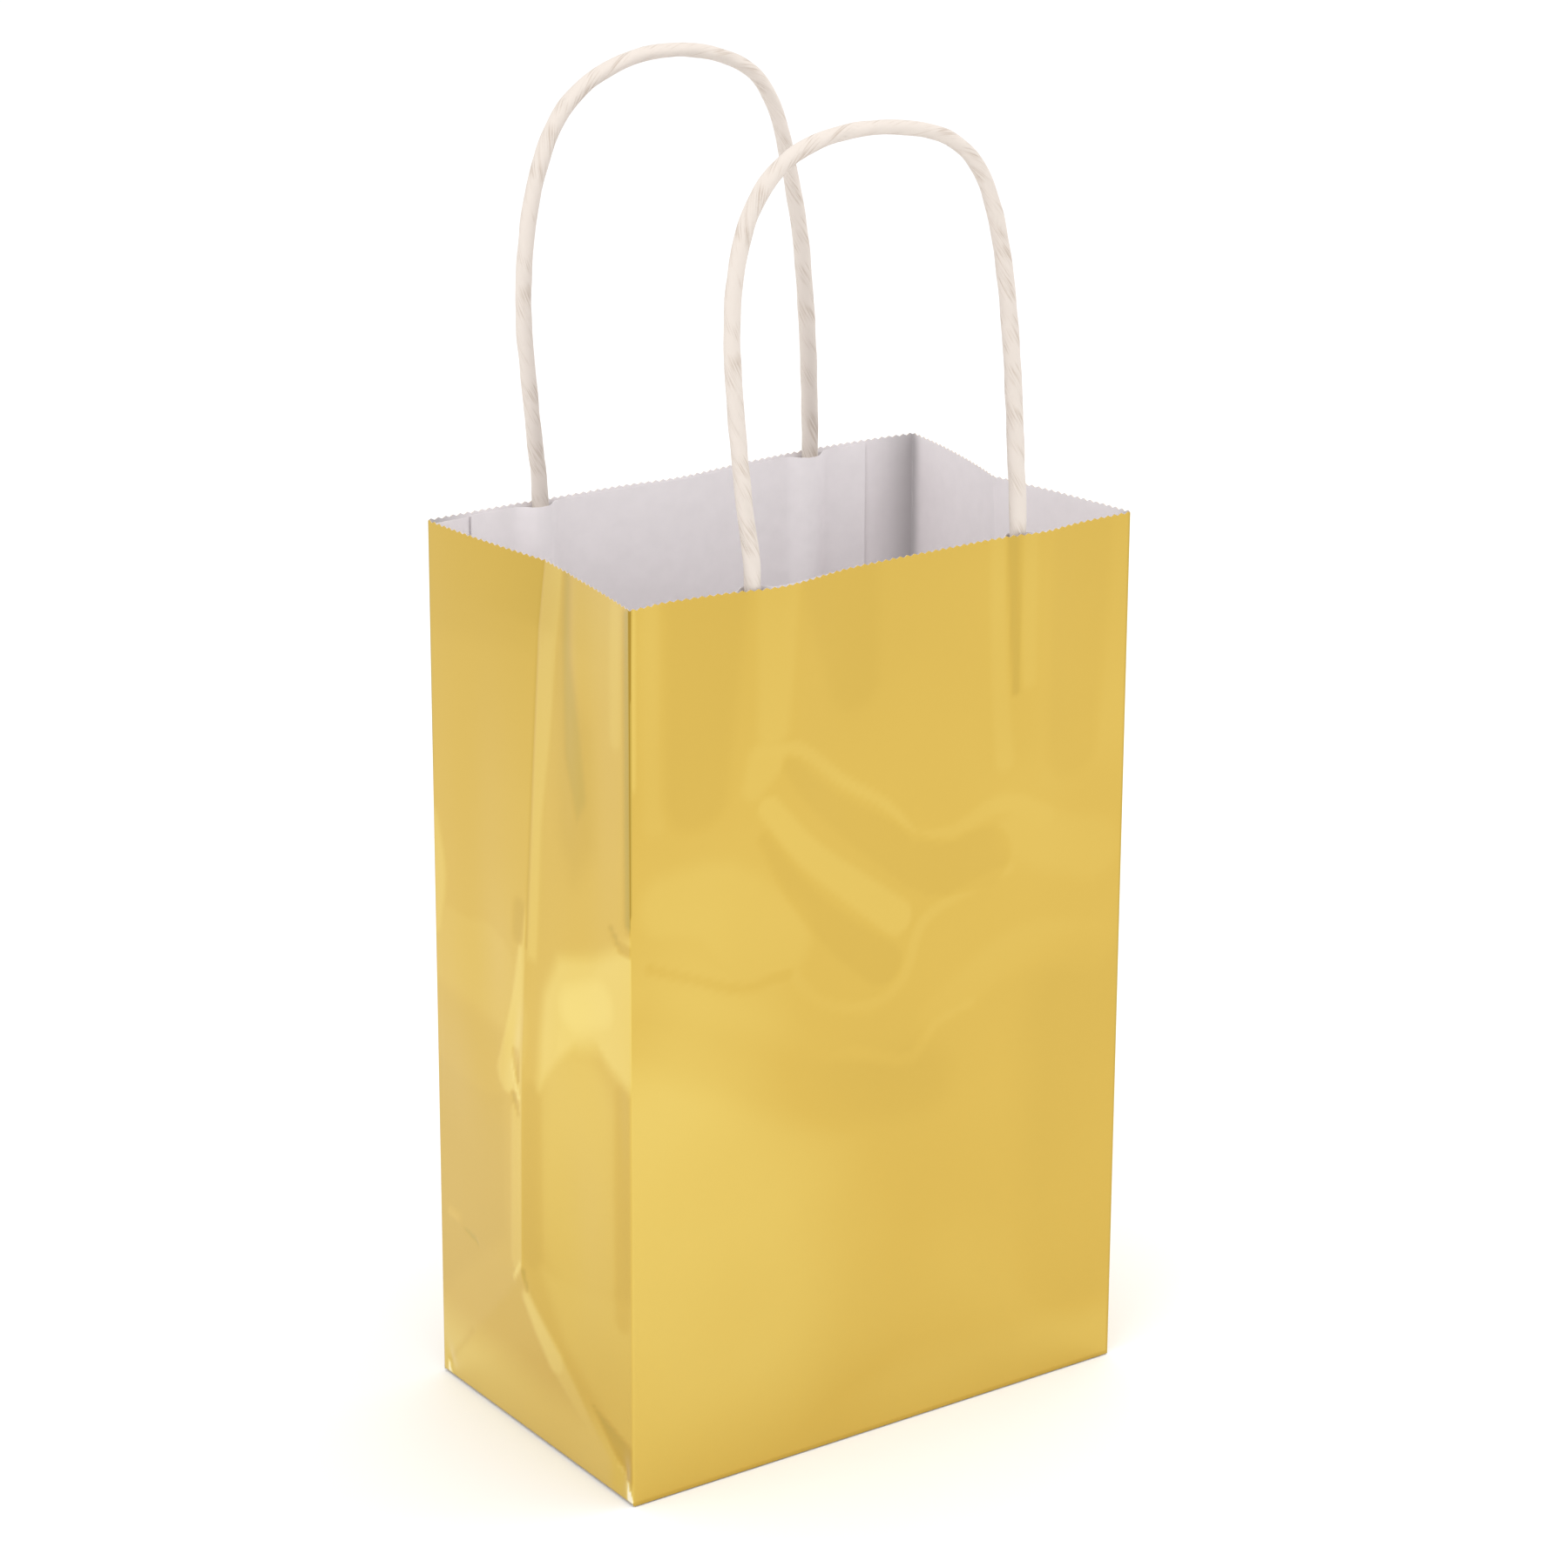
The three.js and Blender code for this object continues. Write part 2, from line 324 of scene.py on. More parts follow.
def twisted_paper():
    """Kraft paper rolled into a cord: long fine wrinkles that follow the twist, from the cord's own map."""
    nodes = Nodes("twisted_paper")
    around = nodes.add("ShaderNodeUVMap", uv_map="twist").outputs["UV"]
    place = nodes.add("ShaderNodeTexCoord").outputs["Object"]
    groove = nodes.noise(around, 1, detail=2, stretch=(26, 1.1, 1))
    patch = nodes.noise(around, 1, detail=1, stretch=(3, 1.4, 1))
    shown = nodes.span(patch, 0, 1, 0.42, 0.6)
    depth = nodes.combine(nodes.span(groove, 1, 0, 0.36, 0.52), shown, "MULTIPLY")
    # painted shade: the wrinkles' grooves are coloured darker as well as bumped
    cream, shade = (0.70, 0.63, 0.57), (0.56, 0.475, 0.405)
    nodes.feed(nodes.ramp(depth, [(0.0, cream), (1.0, shade)]), "Base Color")
    nodes.shader.inputs["Roughness"].default_value = 0.7
    nodes.shader.inputs["Specular IOR Level"].default_value = 0.35
    fibre = nodes.noise(place, 1800, detail=3)
    height = nodes.span(depth, 1, 0)
    nodes.bump([(height, 0.10 * MM, 0.6), (fibre, 0.02 * MM, 0.4)])
    return nodes.material


# ---------------------------------------------------------------- mesh helpers
def make_piece(name, vertices, faces, materials, indices=None, sharp=35):
    mesh = bpy.data.meshes.new(name)
    mesh.from_pydata([tuple(v) for v in vertices], [], faces)
    for material in materials:
        mesh.materials.append(material)
    if indices is not None:
        mesh.polygons.foreach_set("material_index", indices)
    mesh.polygons.foreach_set("use_smooth", [True] * len(mesh.polygons))
    mesh.set_sharp_from_angle(angle=math.radians(sharp))
    mesh.update()
    piece = bpy.data.objects.new(name, mesh)
    bpy.context.scene.collection.objects.link(piece)
    return piece


def make_sheet(name, outer, inner, materials, face_out, tone=None, fold=None, slant=None):
    """A sheet of paper as a closed mesh between two point grids. face_out is True where rows x columns run
    anticlockwise seen from outside. materials are the outside's, the inside's and the last row's cut edge;
    the other edges take the outside's. tone is the foil's painted light and shade at each point, and with it
    comes the lining's painted shade towards the upright creases; fold marks the points on a sharp crease,
    and slant gives the way each cell is cut into triangles: 1 or -1 along a diagonal crease, 0 to leave it
    whole."""
    rows, columns = outer.shape[:2]
    count = rows * columns
    vertices = np.concatenate([outer.reshape(-1, 3), inner.reshape(-1, 3)])
    faces, indices = [], []

    def face(corners, index):
        faces.append(corners if face_out else corners[::-1])
        indices.append(index)

    for r in range(rows - 1):
        for c in range(columns - 1):
            a, b = r * columns + c, r * columns + c + 1
            cell = (a, b, b + columns, a + columns)
            cut = slant[r][c] if slant is not None else 0
            if cut == 0:
                cells = [cell]
            elif cut > 0:
                cells = [(cell[0], cell[1], cell[2]), (cell[0], cell[2], cell[3])]
            else:
                cells = [(cell[0], cell[1], cell[3]), (cell[1], cell[2], cell[3])]
            for corners in cells:
                face(corners, 0)
                face(tuple(count + corner for corner in corners[::-1]), 1)
    ring = list(range(columns))
    ring += [r * columns + columns - 1 for r in range(1, rows)]
    ring += [(rows - 1) * columns + c for c in range(columns - 2, -1, -1)]
    ring += [r * columns for r in range(rows - 2, 0, -1)]
    for a, b in zip(ring, ring[1:] + ring[:1]):
        on_rim = min(a, b) >= (rows - 1) * columns
        face((b, a, count + a, count + b), 2 if on_rim else 0)
    sheet = make_piece(name, vertices, faces, materials, indices)
    if tone is not None:
        add_layer(sheet.data, "tone", tone)
        add_layer(sheet.data, "corner_shade", painted_corner_shade(outer))
    if fold is not None:
        mark_folds(sheet.data, np.concatenate([fold.ravel(), fold.ravel()]))
    return sheet


def add_layer(mesh, name, values):
    """Keeps a number at each point of a sheet, the same on its outside and its inside."""
    layer = mesh.attributes.new(name, "FLOAT", "POINT")
    layer.data.foreach_set("value", np.concatenate([values.ravel(), values.ravel()]).astype(np.float32))


# Painted shade on the lining towards the upright creases: its strength, and how far it reaches.
CORNER_SHADE_AMOUNT = 0.75
CORNER_SHADE_REACH = 18 * MM            # along the panels, and a third as far along the gussets


def painted_corner_shade(points):
    """Painted shade on the lining: darker towards the bag's upright creases, where shade falls in the
    corners.
    """
    across = HALF_WIDTH - np.abs(points[..., 0])
    deep = HALF_DEPTH - np.abs(points[..., 1])
    away = np.hypot(np.maximum(across, 0), 3 * np.maximum(deep, 0))
    return CORNER_SHADE_AMOUNT * (1 - ease(away, 0, CORNER_SHADE_REACH)) ** 2


def mark_folds(mesh, on_fold):
    """Makes an edge sharp where both its ends lie on a crease."""
    ends = np.zeros(len(mesh.edges) * 2, dtype=np.int32)
    mesh.edges.foreach_get("vertices", ends)
    sharp = np.zeros(len(mesh.edges), dtype=bool)
    mesh.edges.foreach_get("use_edge_sharp", sharp)
    sharp |= on_fold[ends].reshape(-1, 2).all(axis=1)
    mesh.edges.foreach_set("use_edge_sharp", sharp)


def smooth_route(points, step):
    """A Catmull-Rom curve through the points, as points about a step apart."""
    knots = np.array([2 * points[0] - points[1], *points, 2 * points[-1] - points[-2]])
    samples = []
    for a, b, c, d in zip(knots, knots[1:], knots[2:], knots[3:]):
        count = max(2, math.ceil(np.linalg.norm(c - b) / step))
        t = np.linspace(0, 1, count, endpoint=False)[:, None]
        samples.append(0.5 * (2 * b + (c - a) * t + (2 * a - 5 * b + 4 * c - d) * t ** 2
                              + (3 * b - a - 3 * c + d) * t ** 3))
    samples.append(points[-1][None, :])
    return np.concatenate(samples)


def bell(x, centre, spread):
    """A smooth bump, 1 at its centre."""
    return np.exp(-(((x - centre) / spread) ** 2))


def ease(x, start, end):
    """0 before start, 1 after end, smooth between."""
    t = np.clip((x - start) / (end - start), 0, 1)
    return t * t * (3 - 2 * t)


def flare(z):
    """How far the side edges stand out at a height."""
    return FLARE_BASE + (FLARE_TOP - FLARE_BASE) * z / HEIGHT


def edge_columns(half, pitch):
    """Positions along a wall from -half to half, two columns to a tooth, with the ends rounded for a crease.
    Gives the distance along the wall and how far the rounded crease pulls each column inward."""
    teeth = round(2 * half / pitch)
    middle = np.linspace(-half, half, 2 * teeth + 1)[1:-1]
    turns = np.radians([45, 30, 15, 0])
    along = CREASE_RADIUS * (1 - np.sin(turns))
    inward = CREASE_RADIUS * (1 - np.cos(turns))
    middle = middle[np.abs(middle) < half - CREASE_RADIUS]
    positions = np.concatenate([-half + along, middle, (half - along)[::-1]])
    pulls = np.concatenate([inward, np.zeros(len(middle)), inward[::-1]])
    return positions, pulls


def rim_drop(along, half, pitch, seed):
    """Depth of the zigzag cut below the full height, slightly uneven from tooth to tooth."""
    teeth = round(2 * half / pitch)
    phase = (along + half) / (2 * half) * teeth
    uneven = np.random.default_rng(seed).uniform(-0.09, 0.09, teeth + 2)
    zigzag = np.abs(2 * (phase - np.floor(phase)) - 1)
    return TOOTH_DEPTH * (zigzag * (1 + uneven[np.floor(phase).astype(int)]))


def rows_up_to_teeth(start):
    """Heights of evenly spaced rows from start to just below the teeth."""
    return np.linspace(start, HEIGHT - LAST_ROW_DROP, round((HEIGHT - start) / ROW_STEP))


def wall_rows():
    """Heights of a wall's rows from its foot to its rim, closer together near the foot."""
    fine = np.array([0, 0.5, 1.1, 1.9, 2.9]) * MM
    return np.concatenate([fine[:-1], rows_up_to_teeth(fine[-1]), [HEIGHT]])


def ribbon(u, v, route, widths, fade):
    """1 inside a ribbon that follows a route across a wall, falling to 0 over fade outside it. Its width
    runs evenly from the first of widths to the second. Millimetres."""
    path = smooth_route(np.array(route, dtype=float), 6)
    steps = np.linalg.norm(np.diff(path, axis=0), axis=1)
    along = np.concatenate([[0], np.cumsum(steps)]) / steps.sum()
    best = np.full(u.shape, -np.inf)
    for a, b, start, end in zip(path, path[1:], along, along[1:]):
        span = b - a
        t = np.clip(((u - a[0]) * span[0] + (v - a[1]) * span[1]) / (span @ span), 0, 1)
        distance = np.hypot(u - a[0] - t * span[0], v - a[1] - t * span[1])
        half = (widths[0] + (widths[1] - widths[0]) * (start + (end - start) * t)) / 2
        best = np.maximum(best, (half - distance) / fade)
    return ease(best, -1, 0)


def facet(u, v, corners, fade):
    """1 inside a patch of wall with the given corners, falling to 0 over fade outside it. Millimetres."""
    inside = np.zeros(u.shape, dtype=bool)
    distance = np.full(u.shape, np.inf)
    for (ax, ay), (bx, by) in zip(corners, corners[1:] + corners[:1]):
        crosses = (ay > v) != (by > v)
        reach = ax + (bx - ax) * (v - ay) / (by - ay if by != ay else TINY)
        inside ^= crosses & (u < reach)
        t = np.clip(((u - ax) * (bx - ax) + (v - ay) * (by - ay)) / ((bx - ax) ** 2 + (by - ay) ** 2), 0, 1)
        distance = np.minimum(distance, np.hypot(u - ax - t * (bx - ax), v - ay - t * (by - ay)))
    return ease(np.where(inside, distance, -distance), -fade / 2, fade / 2)


def painted_light_field(x, z, table):
    """The painted ribbons and facets on a wall: the strongest painted light and the deepest painted shade at
    each point, added.
    """
    light = np.zeros(x.shape)
    shade = np.zeros(x.shape)
    for amount, widths, fade, route in table:
        shape = ribbon(x / MM, z / MM, route, widths, fade) if widths else facet(x / MM, z / MM, route, fade)
        part = amount * shape
        light = np.maximum(light, part)
        shade = np.minimum(shade, part)
    return light + shade


def dents(x, z, table):
    """Sum of soft dents: each row is x, z, depth, width, height and lean, in millimetres and degrees."""
    total = np.zeros(np.broadcast(x, z).shape)
    for at_x, at_z, depth, width, height, lean in table:
        turn = math.radians(lean)
        dx, dz = x - at_x * MM, z - at_z * MM
        across = dx * math.cos(turn) + dz * math.sin(turn)
        upward = dz * math.cos(turn) - dx * math.sin(turn)
        total = total + depth * MM * np.exp(-((across / (width * MM)) ** 2) - (upward / (height * MM)) ** 2)
    return total


def held(x, z, half, margin=EDGE_MARGIN):
    """Fades to 0 at a wall's side edges and foot, so that neighbouring walls still meet."""
    sides = ease(half - np.abs(x), 0, margin)
    return sides * ease(z, 0, margin)


# ---------------------------------------------------------------- light and shade in the foil
# The sheet isn't quite flat: its shallow relief would show as ribbons of light and shade, and these are
# painted into the foil's colour as painted reflections, painted shade and painted glints, with the sheet
# raised a little along them. Each row is the amount of tone, the ribbon's width at its two ends, how softly
# it fades, and its route across the wall, in millimetres. A row with no width is a facet, and its route goes
# round it.
RELIEF = 0.06 * MM             # how far a tone of 1 raises the sheet

FRONT_PAINTED_LIGHT = [
    (0.48, (26, 34), 46, [(-60, 84), (-54, 60), (-50, 40)]),              # painted reflection: the pale lower left
    (-0.16, (5, 8), 9, [(-64, 112), (-42, 101), (-18, 88), (10, 84)]),
    (0.16, (10, 10), 12, [(-60, 3), (60, 3)]),
    (-0.18, (18, 22), 14, [(58, 30), (56, 90)]),
    (0.08, (4, 4), 3, [(-60, 208), (-60, 160)]),                          # painted light and shade beside the left pasted cord end
    (-0.20, (17, 12), 4, [(-48, 208), (-50, 164)]),
    (0.16, (8, 5), 3, [(-30, 208), (-31, 176)]),
    (-0.16, (16, 8), 5, [(-13, 206), (-9, 182)]),
    (-0.55, (2.0, 1.0), 1.2, [(33.4, 208), (34, 190), (34.8, 172)]),      # painted light and shade beside the right pasted cord end
    (0.14, (1.6, 3), 2, [(29, 208), (30, 180), (32, 156)]),
    (0.12, (1.6, 2), 2, [(38, 208), (38, 174)]),
    (-0.14, (13, 10), 4, [(53, 205), (51, 156)]),
    (0.16, (7, 3), 2.5, [(-33, 169), (-36, 163)]),                        # painted reflections along the long ripples in the middle
    (0.19, (2.6, 0.9), 1.0, [(-34, 171), (-24, 170), (-12, 160), (0, 152), (8, 143)]),
    (0.13, (0.9, 4), 1.8, [(8, 143), (18, 142), (32, 146), (44, 140)]),
    (-0.18, (2.5, 13), 1.5, [(-27, 167), (-18, 157), (0, 143), (14, 134), (27, 134)]),
    (0.22, (4, 7), 1.5, [(-32, 158), (-22, 146), (-8, 134), (3, 125)]),
    (-0.21, (1.5, 9), 1.6, [(-33, 151), (-24, 137), (-12, 124), (-1, 115)]),
    (0.14, (2, 1.2), 1.5, [(-25, 118), (-17, 109), (-4, 105.5), (5, 110), (10, 122), (22, 127), (34, 130)]),
    (0.16, (9, 18), 6, [(-57, 140), (-44, 138), (-32, 126)]),
    (-0.18, (0.8, 1.4), 1.1, [(-62, 127), (-48, 121), (-38, 117), (-26, 118)]),
    (0.10, (1.2, 1.2), 1.2, [(-60, 122), (-46, 109), (-36, 107), (-26, 106)]),
    (0.16, (2.2, 1.2), 1.4, [(-25, 106), (-19, 97), (-8, 95), (0, 92), (8, 90), (14, 97), (24, 100)]),
    (0.11, (6, 10), 6, [(36, 138), (46, 134), (58, 130)]),
    (0.10, (4, 8), 5, [(14, 100), (38, 110), (58, 106)]),
    (-2.2, (0.6, 0.4), 0.25, [(-66.45, 208), (-66.45, 188)]),             # painted shade and light along the corner creases, upright and at the foot
    (-1.2, (0.5, 0.3), 0.25, [(-66.45, 190), (-66.45, 140)]),
    (0.35, (0.3, 0.3), 0.4, [(-65.7, 208), (-65.7, 168)]),
    (0.15, (0.8, 0.8), 0.6, [(-66.5, 124), (-66.5, 6)]),
    (-0.9, (0.8, 0.8), 0.5, [(66.5, 208), (66.5, 0)]),
    (-0.8, (0.8, 0.8), 0.6, [(-66, 0), (66, 0)]),
]

# Painted reflections, painted shade and painted glints on the gussets, in rows like the front's.
GUSSET_PAINTED_LIGHT = [
    (0.34, None, 1.8, [(0, 209), (-8.5, 209), (-8.2, 190), (-6.8, 170), (-4.5, 150), (-4.5, 118),
                       (-0.8, 118)]),
    (-0.80, None, 3.5, [(-9, 210), (-12, 210), (-15, 190), (-20, 175), (-23, 160), (-19, 154), (-13, 168)]),
    (-0.30, None, 8, [(-9, 190), (-24, 176), (-26, 150), (-18, 140), (-12, 150)]),
    (0.22, (2.2, 2.2), 2.5, [(-34, 206), (-34.5, 178)]),
    (-1.2, (2.0, 1.0), 2.4, [(-40.3, 206), (-40.3, 138)]),
    (0.62, None, 5, [(-6, 88), (-8, 112), (-13, 122), (-26, 126), (-43, 135), (-43, 98), (-33, 102),
                     (-25, 107), (-14, 97)]),                             # painted reflection: the bright patch
    (0.68, None, 2, [(-12, 97), (-15, 112), (-28, 125), (-43, 133), (-43, 100), (-33, 103), (-25, 108)]),
    (0.90, (5, 5), 12, [(-20, 112), (-29, 116)]),
    (-0.8, (1.5, 0.6), 0.8, [(-41, 132), (-37, 131.5), (-33, 135)]),
    (0.25, (18, 22), 8, [(-21, 90), (-22, 56)]),
    (-0.22, (4, 5), 2.5, [(-4, 86), (-4, 48)]),
    (-0.26, (3, 3), 2.5, [(-37.5, 97), (-37.5, 44)]),
    (0.62, (0.8, 7.5), 1.6, [(2.0, 119), (3.4, 104), (7.2, 88)]),
    (-0.45, (3, 2), 2, [(3.5, 128), (4, 122)]),
    (0.34, (3.4, 4.2), 1.0, [(2.6, 80), (2.4, 44)]),
    (0.13, (36, 38), 1.8, [(45, 100), (24, 99), (18, 100)]),
    (0.40, (4, 6), 2.5, [(42, 138), (39.5, 126), (42, 114)]),
    (-0.12, (28, 20), 6, [(40, 200), (6, 200)]),
    (-0.26, None, 6, [(42, 99), (8, 97), (7, 48), (42, 20)]),
    (0.5, (12, 12), 14, [(-42, 3), (42, 3)]),                             # painted light towards the foot
    (0.30, None, 6, [(-42, 50), (-7, 46), (-16, 30), (-36, 14), (-42, 14)]),
    (0.75, (1.4, 5), 2.4, [(-1.6, 36), (-6.5, 30), (-12, 24.5)]),         # painted light and shade under the front diagonal
    (0.5, (5, 2), 2.2, [(-11, 25.5), (-20, 17.5), (-26, 12)]),
    (-0.95, None, 1.6, [(-26, 19.5), (-33, 12), (-37, 7.5), (-39.8, 3.5), (-40.8, 6), (-40.4, 14),
                        (-35, 16)]),
    (0.7, (0.9, 0.5), 0.6, [(-35.6, 8), (-38.6, 3.8)]),
    (-0.8, (0.5, 0.5), 0.5, [(21.5, 40.4), (30, 41.6)]),                  # painted shade and light along small creases
    (0.4, (1.6, 0.6), 0.9, [(36, 42.5), (31, 43)]),
    (-0.26, (0.6, 0.6), 0.8, [(39, 2), (25, 17)]),
    (-0.6, (2.4, 0.8), 0.8, [(3.5, 94), (2, 88)]),
    (0.9, (0.6, 1.2), 0.7, [(5, 91), (1.5, 84)]),
    (-0.7, (1, 0.6), 0.7, [(4, 84), (1.5, 80.5)]),
    (0.9, (1, 0.5), 0.7, [(1, 43.5), (3.5, 39.5)]),
    (-0.8, (0.8, 0.4), 0.6, [(-0.5, 42.5), (-2, 38.5)]),
    (2.4, (2.0, 0.8), 0.6, [(-39.6, 1.2), (-38.8, 5)]),                   # painted glints at the foot
    (2.0, (1.1, 0.4), 0.5, [(37.9, 0.8), (38.4, 2.8)]),
    (-0.45, (0.5, 0.5), 0.4, [(0, 208), (0, 120)]),                       # painted shade and light along the creases themselves
    (0.4, (0.5, 0.5), 0.4, [(0.8, 128), (0.8, 44)]),
    (-2.2, (0.6, 0.4), 0.3, [(-40.95, 208), (-40.95, 140)]),
    (0.25, (0.8, 0.8), 0.6, [(-41, 128), (-41, 18)]),
    (-1.2, (0.8, 0.8), 0.6, [(41, 208), (41, 150)]),
    (-0.6, (0.8, 0.8), 0.6, [(41, 150), (41, 0)]),
    (-0.6, (0.6, 0.6), 0.5, [(-40, 0), (40, 0)]),
]


def mirrored(table, drop):
    """The same ribbons for the wall opposite, turned about, and lower by drop in the middle of the wall."""
    middle_low, middle_high = 50, 180
    turned = []
    for amount, widths, fade, route in table:
        moved = [(-u, v - drop if middle_low < v < middle_high else v) for u, v in route]
        turned.append((amount, widths, fade, moved))
    return turned


# ---------------------------------------------------------------- shapes of the walls
# Soft dents: x, z, depth, width, height and lean, in millimetres and degrees.
FRONT_DENTS = [
    (-24, 160, 0.5, 16, 9, -52), (2, 140, -0.45, 26, 8, -42), (-14, 134, 0.35, 30, 7, -45),
    (30, 150, 0.3, 22, 10, 20), (-40, 118, -0.35, 18, 8, 8), (10, 108, 0.3, 22, 8, 0),
    (-30, 60, 0.5, 30, 40, 0), (25, 45, -0.4, 30, 35, 10), (40, 95, 0.3, 18, 30, 0),
    (-50, 150, -0.3, 10, 30, 0),
]
BACK_DENTS = [
    (30, 160, 0.4, 20, 12, 40), (-10, 120, -0.45, 30, 10, 30), (20, 90, 0.4, 26, 9, -20),
    (-36, 70, 0.4, 22, 30, 0), (30, 40, -0.3, 26, 20, 0), (-20, 160, 0.3, 12, 24, -10),
]
# Swells where the pasted cord ends push the rim out, and where it draws in: x, amount and spread.
FRONT_SWELLS = [(-29, 2.1, 12), (41, 1.0, 8), (-58, -0.7, 6)]
BACK_SWELLS = [(40, 1.6, 22), (-1, -0.9, 12), (-40, 0.5, 14)]
SWELL_FOOT = 100 * MM
# Dips where the rim isn't cut quite straight: x, amount and spread.
FRONT_DIPS = [(-28, 0.55, 14), (42, 0.25, 8)]
BACK_DIPS = [(0, 0.3, 12), (-32, 0.2, 10)]
DIP_REACH = 60 * MM


def along_rim(x, table):
    """Sum of smooth bumps along the rim: each row is x, amount and spread, in millimetres."""
    total = np.zeros_like(x)
    for at_x, amount, spread in table:
        total = total + amount * MM * bell(x, at_x * MM, spread * MM)
    return total


def wall_bulge(x, z, side):
    """How far the front wall (side -1) or the back wall (side 1) stands out from its plane."""
    swells, table = (FRONT_SWELLS, FRONT_DENTS) if side < 0 else (BACK_SWELLS, BACK_DENTS)
    rim_part = along_rim(x, swells) * ease(z, SWELL_FOOT, HEIGHT)
    return (rim_part + dents(x, z, table)) * held(x, z, HALF_WIDTH)


def rim_height(x, z, side):
    """Lowers the wall near the rim where the cut isn't quite straight."""
    dips = FRONT_DIPS if side < 0 else BACK_DIPS
    return z - along_rim(x, dips) * ease(z, HEIGHT - DIP_REACH, HEIGHT)


def wall_grid(side, seed, table):
    """Outer points of the front wall (side -1) or the back wall (side 1), and the foil's tone at each."""
    along, pull = edge_columns(HALF_WIDTH, TOOTH_PITCH)
    x, z = np.meshgrid(along, wall_rows())
    tone = painted_light_field(x, z, table)
    z = z.copy()
    z[-1] -= rim_drop(along, HALF_WIDTH, TOOTH_PITCH, seed)
    bulge = wall_bulge(x, z, side) + RELIEF * tone * held(x, z, HALF_WIDTH, FINE_MARGIN)
    z = rim_height(x, z, side)
    y = side * (HALF_DEPTH + bulge - pull[None, :])
    spread = 1 + flare(z) / HALF_WIDTH
    return np.stack([x * spread, y, z], axis=-1), tone


def wall_shift(x, z, side):
    """How far the wall's middle has moved along Y from its flat place, for what is pasted on it."""
    return side * wall_bulge(x, z, side)


def make_wall(name, side, body, node, seed, table, materials):
    outer, tone = wall_grid(side, seed, table)
    inner = outer - np.array([0, side * PAPER, 0])
    sheet = make_sheet(name, outer, inner, materials, side < 0, tone)
    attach(sheet, body)
    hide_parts(node)


# The middle crease of each gusset: height and how far it stands in from the wall's plane, in millimetres.
LEFT_CREASE = [(0, 0), (41, -3.2), (76, -2.7), (100, -2.1), (127, -0.6), (158, 1.1), (193, 3.2), (208, 5.0)]
RIGHT_CREASE = [(0, 0), (41, -2.0), (80, -1.0), (120, 1.2), (160, 3.8), (190, 6.2), (208, 7.4)]
# How sharply the front and the rear half of each gusset curve towards the middle crease at the rim.
LEFT_POWERS = (0.72, 1.6)
RIGHT_POWERS = (1.25, 1.8)
LEFT_DENTS = [
    (-12, 190, 0.2, 4, 24, -6), (-17, 178, -0.25, 6, 28, -8), (-26, 150, 0.3, 8, 30, 0),
    (-14, 108, -0.4, 8, 14, 12), (-30, 96, 0.35, 9, 14, -10), (4, 98, 0.3, 2.5, 7, 15),
    (18, 112, 0.5, 10, 16, 0), (24, 84, -0.4, 12, 14, 0), (-20, 60, 0.5, 9, 22, 0),
    (22, 150, 0.35, 9, 30, 0), (-37, 6, 0.9, 2.6, 5, 20), (37.5, 4, 0.35, 2.2, 3.4, -20),
]
RIGHT_DENTS = [
    (-14, 180, -0.4, 5, 24, 8), (20, 170, 0.4, 8, 26, 0), (-24, 120, 0.5, 9, 18, 10),
    (16, 100, -0.5, 9, 12, 0), (-5, 92, 0.35, 3, 7, -15), (-28, 62, 0.4, 9, 20, 0),
    (24, 58, -0.4, 10, 16, 0),
    (-37, 5, 0.8, 2.4, 4, 20), (37, 5, 0.8, 2.4, 4, -20),
]


def crease_depth(z, profile):
    heights = np.array([height for height, _ in profile]) * MM
    depths = np.array([depth for _, depth in profile]) * MM
    return np.interp(z, heights, depths)


def gusset_push(y, z, profile, powers, table):
    """How far a gusset stands in from its plane. Above the apex the paper curves from the corner creases to
    the middle crease; below it, three flat facets meet at the diagonal creases."""
    upper = ease(z, APEX_Z, HEIGHT)
    power = np.where(y < 0, 1 + (powers[0] - 1) * upper, 1 + (powers[1] - 1) * upper)
    share = np.clip(1 - np.abs(y) / (HALF_DEPTH - CREASE_RADIUS), 0, 1)
    start = CREASE_LEAD ** power
    curved = ((share + CREASE_LEAD) ** power - start) / ((1 + CREASE_LEAD) ** power - start)
    straight = np.clip(1 - np.abs(y) / HALF_DEPTH, 0, 1)
    above = crease_depth(z, profile) * (straight + (curved - straight) * upper)
    below = crease_depth(APEX_Z, profile) * np.minimum(z / APEX_Z, straight)
    push = np.where(z > APEX_Z, above, below)
    return push + dents(y, z, table) * held(y, z, HALF_DEPTH, FINE_MARGIN)


def gusset_columns():
    """Columns across a gusset, with one on the middle crease, closer together beside it."""
    along, pull = edge_columns(HALF_DEPTH, TOOTH_PITCH)
    extra = np.array([-0.4, 0.4]) * MM
    joined = np.concatenate([along, extra])
    order = np.argsort(joined)
    return joined[order], np.concatenate([pull, np.zeros(len(extra))])[order]


def gusset_rows(along):
    """Rows up a gusset. Below the apex each row meets a column on the diagonal creases."""
    lower = APEX_Z - np.abs(along[along <= TINY])
    closest = 0.05 * MM        # of a row to the gusset's foot
    lower = lower[lower > GUSSET_FOOT + closest]
    return np.concatenate([[GUSSET_FOOT], lower, rows_up_to_teeth(APEX_Z)[1:], [HEIGHT]])


